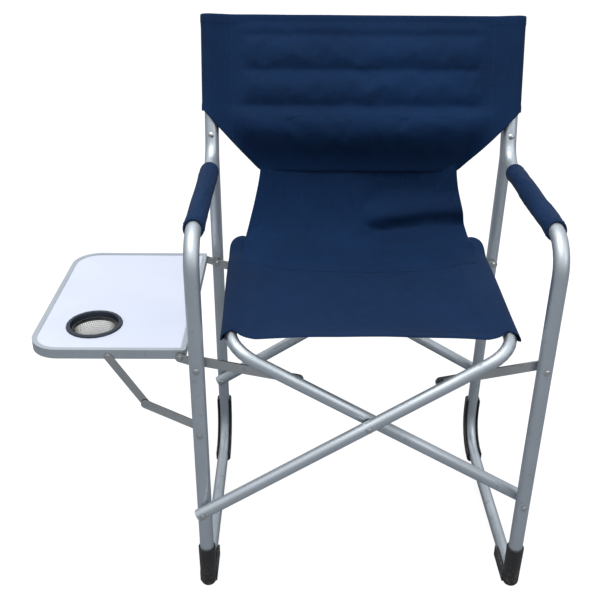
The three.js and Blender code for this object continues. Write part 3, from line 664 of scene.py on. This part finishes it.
# ---------------------------------------------------------------- the tongue between back and seat
# (y, lift over the seat) along the middle, from the lip on the seat up to the tuck behind the back panel
TONGUE_PROFILE = ((0.262, 0.0004), (0.285, 0.0020), (0.310, 0.0095), (0.331, 0.0270), (0.347, 0.054),
                  (0.360, 0.086), (0.371, 0.116), (0.3775, 0.136), (0.3795, 0.152), (0.377, 0.166))
# (share of the way up, half width)
TONGUE_WIDTH = ((0.0, 0.196), (0.16, 0.196), (0.30, 0.193), (0.42, 0.186), (0.60, 0.176), (0.80, 0.168), (1.0, 0.166))


def seat_height(seat, x, y):
    """Height of the finished seat over the rails' centres at each place, or of its plan where it has ended."""
    tree = BVHTree.FromPolygons([v.co for v in seat.data.vertices], [p.vertices for p in seat.data.polygons])
    level = seat_level(x, y)
    for at in np.ndindex(x.shape):
        px, py, _ = place((x[at], y[at], 0.0))
        hit = tree.ray_cast(Vector((px, py, RAIL_Z + 0.03)), Vector((0, 0, -1)), 0.06)[0]
        if hit is not None:
            level[at] = hit.z - RAIL_Z
    return level


def build_tongue(seat):
    rows, cols = 56, 76
    profile = spline(TONGUE_PROFILE, rows)
    share = np.linspace(0, 1, rows)
    half = along(TONGUE_WIDTH, share)
    u = np.linspace(-1, 1, cols)
    x = half[:, None] * u[None, :]
    y = np.tile(profile[:, :1], (1, cols))
    low = smooth((share[:, None] - 0.05) / 0.25)
    y = y - 0.010 * low * np.abs(u[None, :]) ** 3
    lip = smooth((0.012 - profile[:, 1:]) / 0.010)
    z = RAIL_Z + profile[:, 1:] + lip * seat_height(seat, x, y) + (1 - lip) * seat_level(x, y)
    # one long crease runs from the middle up towards the right edge, with a soft ridge over it
    crease_z = 0.474 + 0.017 * smooth(x / 0.17)
    strength = smooth((x + 0.02) / 0.07)
    y += 0.013 * strength * np.exp(-(((z - crease_z) / 0.011) ** 2))
    y -= 0.009 * strength * np.exp(-(((z - crease_z - 0.026) / 0.016) ** 2))
    grid = place(np.stack((x, y, z), -1))
    body = smooth((share[:, None] - 0.2) / 0.2) * smooth((1 - share[:, None]) / 0.15)
    grid[..., 1] += 0.004 * ripple(grid * (1, 1, 0.5), 0.055, 9) * body
    _, faces = shell(grid, np.zeros(x.shape), np.zeros(x.shape))
    lay = new_mesh("tongue_lay", grid.reshape(-1, 3), faces[: (rows - 1) * (cols - 1)])
    row_share = np.broadcast_to(share[:, None], x.shape)
    held = (row_share < 0.30) | (row_share > 0.9)
    drape(lay, held.ravel(), cap=0.009, gravity=0.3, slack=0.02)
    grid = coordinates(lay).reshape(rows, cols, 3)
    bpy.data.objects.remove(lay)
    thick = CLOTH / 2 * (0.15 + 0.85 * smooth(row_share / 0.08))
    obj = new_mesh("back_tongue", *shell(grid, thick, thick))
    obj.data.materials.append(MATERIALS["navy_fabric"])
    obj.data.materials.append(MATERIALS["thread"])
    lines = [[(r, c) for r in range(14, rows - 6)] for c in (2, cols - 3)]
    extra = stitch_on(obj, lines, rows, cols)
    subdivide(obj)
    join(obj, *extra, 1)
    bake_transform(obj)
    return obj


# ---------------------------------------------------------------- arm pads
def build_pad(side, x_mid):
    """A foam sleeve in a sewn cover round the arm, closed by one seam underneath."""
    lo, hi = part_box(f"arm_pad_{side}")
    axis_z = (lo.z + hi.z) / 2
    radius = (hi.z - lo.z) / 2
    front_y, rear_y = lo.y - 0.004, hi.y + 0.001
    rows, cols = 54, 40
    share = np.linspace(0, 1, rows)
    turn = np.linspace(0, 2 * math.pi, cols, endpoint=False) - math.pi / 2
    end = np.minimum(share, 1 - share) * (rear_y - front_y)
    round_off = 1 - 0.04 * np.exp(-((end / 0.0020) ** 2))
    seam = 1 - 0.05 * np.exp(-((np.minimum(np.arange(cols), cols - np.arange(cols)) / 1.3) ** 2))
    r = radius * round_off[:, None] * seam[None, :]
    y = front_y + share[:, None] * (rear_y - front_y)
    tilt = 0.004 * np.exp(-share[:, None] / 0.12) * -np.sin(turn)[None, :]
    x = x_mid + r * np.cos(turn)[None, :]
    z = axis_z + r * np.sin(turn)[None, :]
    outer = np.stack((x, y - tilt, z), -1)
    outer[..., 0] += 0.0005 * ripple(outer, 0.05, 11)
    outer[..., 2] += 0.0005 * ripple(outer, 0.05, 12)
    bore = ARM_R + 0.0006
    inner = np.stack((x_mid + bore * np.cos(turn)[None, :] + 0 * y, y - tilt, axis_z + bore * np.sin(turn)[None, :] + 0 * y), -1)
    vertices = np.vstack((outer.reshape(-1, 3), inner.reshape(-1, 3)))
    faces = []
    for r_index in range(rows - 1):
        for c in range(cols):
            after = (c + 1) % cols
            a, b = r_index * cols + c, r_index * cols + after
            quad = (a, b, b + cols, a + cols)
            faces.append(quad)
            faces.append(tuple(i + rows * cols for i in quad[::-1]))
    for row, flip in ((0, False), (rows - 1, True)):
        for c in range(cols):
            a, b = row * cols + c, row * cols + (c + 1) % cols
            quad = (b, a, a + rows * cols, b + rows * cols)
            faces.append(quad[::-1] if flip else quad)
    obj = new_mesh(f"arm_pad_cover_{side}", vertices, faces)
    row_index = np.repeat(np.arange(rows), cols)
    column = np.tile(np.arange(cols), rows)
    held = (row_index < 3) | (row_index > rows - 4) | (column < 1)
    drape(obj, np.concatenate((held, np.ones(rows * cols, bool))), cap=0.0006, pressure=4.0, slack=0.006)
    obj.data.materials.append(MATERIALS["navy_pad"])
    obj.data.materials.append(MATERIALS["thread"])
    co = coordinates(obj)[: rows * cols].reshape(rows, cols, 3)
    centre = np.array((x_mid, 0.0, axis_z))
    vertices, faces = [], []
    for ring in (co[2], co[-3]):
        path = np.vstack((ring, ring[:1]))
        out = (path - centre) * (1, 0, 1)
        v, f = stitches(path, out / np.linalg.norm(out, axis=1, keepdims=True))
        faces += [tuple(i + len(vertices) for i in face) for face in f]
        vertices += v
    for column in (2, cols - 2):
        path = co[:, column]
        out = (path - centre) * (1, 0, 1)
        v, f = stitches(path, out / np.linalg.norm(out, axis=1, keepdims=True))
        faces += [tuple(i + len(vertices) for i in face) for face in f]
        vertices += v
    subdivide(obj)
    join(obj, vertices, faces, 1)
    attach(obj, f"{side}_side")
    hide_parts(f"arm_pad_{side}")
    return obj


# ---------------------------------------------------------------- cup net
def build_net():
    """A knotted net bag that hangs in the ring: threads along both diagonals of a dish."""
    centre = (NET_LO + NET_HI) / 2
    rim_r = (NET_HI.x - NET_LO.x) / 2 - 0.0012
    depth = NET_HI.z - NET_LO.z - 0.004
    top = NET_HI.z - 0.0025
    rings, spokes = 15, 64
    vertices = []
    for ring in range(rings + 1):
        share = ring / rings
        r = rim_r * (0.10 + 0.90 * math.sin(share * math.pi / 2) ** 0.72)
        z = top - depth * (1 - share**2.6)
        for spoke in range(spokes):
            angle = 2 * math.pi * (spoke + 0.5 * (ring % 2)) / spokes
            vertices.append((centre.x + r * math.cos(angle), centre.y + r * math.sin(angle), z))
    faces = []
    for ring in range(rings):
        for spoke in range(spokes):
            after = (spoke + 1) % spokes
            a, b = ring * spokes + spoke, ring * spokes + after
            c, d = a + spokes, b + spokes
            if ring % 2:
                faces += [(a, d, c), (a, b, d)]
            else:
                faces += [(a, b, c), (b, d, c)]
    faces.append(tuple(range(spokes))[::-1])
    obj = new_mesh("cup_net_mesh", vertices, faces)
    wire = obj.modifiers.new("threads", "WIREFRAME")
    wire.thickness = 0.0012
    wire.use_even_offset = False
    apply_modifiers(obj)
    obj.data.materials.append(MATERIALS["grey_net"])
    obj.data.shade_smooth()
    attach(obj, "table")
    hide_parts("cup_net")
    return obj


# ---------------------------------------------------------------- stage
CAMERA_PLACE = (0.0048, -1.1906, 1.0339)
CAMERA_PITCH = math.radians(27.36)
CAMERA_YAW = math.radians(-0.50)
CAMERA_ROLL = math.radians(0.5)
CAMERA_LENS = 50.4


def add_camera():
    data = bpy.data.cameras.new("camera")
    data.lens = CAMERA_LENS
    data.sensor_width = 36.0
    camera = bpy.data.objects.new("camera", data)
    bpy.context.scene.collection.objects.link(camera)
    turn = Matrix.Rotation(CAMERA_YAW, 4, "Z") @ Matrix.Rotation(math.pi / 2 - CAMERA_PITCH, 4, "X")
    camera.matrix_world = Matrix.Translation(CAMERA_PLACE) @ turn @ Matrix.Rotation(CAMERA_ROLL, 4, "Z")
    bpy.context.scene.camera = camera


def floor_paint():
    """Near white to the camera with a faint shadow; dull grey for the light it throws back."""
    f = Finish("floor_paint", Roughness=0.9, Specular_IOR_Level=0.1)
    sees = f.node("ShaderNodeLightPath").outputs["Is Camera Ray"]
    tone = f.noise(0.6, 2.0)
    f.use(
        Base_Color=f.mix(sees, f.mix(tone, (0.24, 0.25, 0.27, 1), (0.27, 0.28, 0.30, 1)), (0.16, 0.16, 0.16, 1)),
        Emission_Color=f.mix(tone, (0.90, 0.90, 0.90, 1), (0.93, 0.93, 0.93, 1)),
        Emission_Strength=sees,
    )
    return f.material


def add_floor():
    size = 14.0
    corners = [(-size, -size, 0), (size, -size, 0), (size, size, 0), (-size, size, 0)]
    floor = new_mesh("floor", corners, [(0, 1, 2, 3)])
    floor.data.materials.append(floor_paint())
    floor.location.z = -0.0005


def add_light(name, place_at, aim, size, power):
    data = bpy.data.lights.new(name, "AREA")
    data.shape = "DISK"
    data.size = size
    data.energy = power
    light = bpy.data.objects.new(name, data)
    bpy.context.scene.collection.objects.link(light)
    light.location = place_at
    direction = Vector(aim) - Vector(place_at)
    light.rotation_euler = direction.to_track_quat("-Z", "Y").to_euler()


def add_world():
    """White to the camera; the light it gives is bright overhead and dim towards the floor."""
    world = bpy.data.worlds.new("studio")
    bpy.context.scene.world = world
    world.use_nodes = True
    tree = world.node_tree
    tree.nodes.clear()
    link = tree.links.new
    output = tree.nodes.new("ShaderNodeOutputWorld")
    seen = tree.nodes.new("ShaderNodeBackground")
    seen.inputs[0].default_value = (1, 1, 1, 1)
    given = tree.nodes.new("ShaderNodeBackground")
    given.inputs[0].default_value = (0.92, 0.96, 1.0, 1)
    split = tree.nodes.new("ShaderNodeSeparateXYZ")
    link(tree.nodes.new("ShaderNodeTexCoord").outputs["Generated"], split.inputs[0])
    rise = tree.nodes.new("ShaderNodeMapRange")
    rise.interpolation_type = "SMOOTHSTEP"
    link(split.outputs["Z"], rise.inputs["Value"])
    for key, number in (("From Min", -0.25), ("From Max", 0.85), ("To Min", 0.22), ("To Max", 1.15)):
        rise.inputs[key].default_value = number
    link(rise.outputs[0], given.inputs[1])
    mix = tree.nodes.new("ShaderNodeMixShader")
    link(tree.nodes.new("ShaderNodeLightPath").outputs["Is Camera Ray"], mix.inputs[0])
    link(given.outputs[0], mix.inputs[1])
    link(seen.outputs[0], mix.inputs[2])
    link(mix.outputs[0], output.inputs[0])


def build_stage():
    add_camera()
    add_floor()
    add_world()
    add_light("key", (-0.4, -0.6, 2.6), (0.05, 0.1, 0.4), 1.2, 34)
    add_light("fill", (1.6, -1.2, 1.6), (0.0, 0.0, 0.4), 1.4, 6)
    bpy.context.scene.view_settings.view_transform = "Standard"


finish_nodes()
build_back_panel()
build_tongue(build_seat())
build_pad("left", LEFT_LO.x + ARM_R)
build_pad("right", RIGHT_LO.x + ARM_R)
build_net()
build_stage()
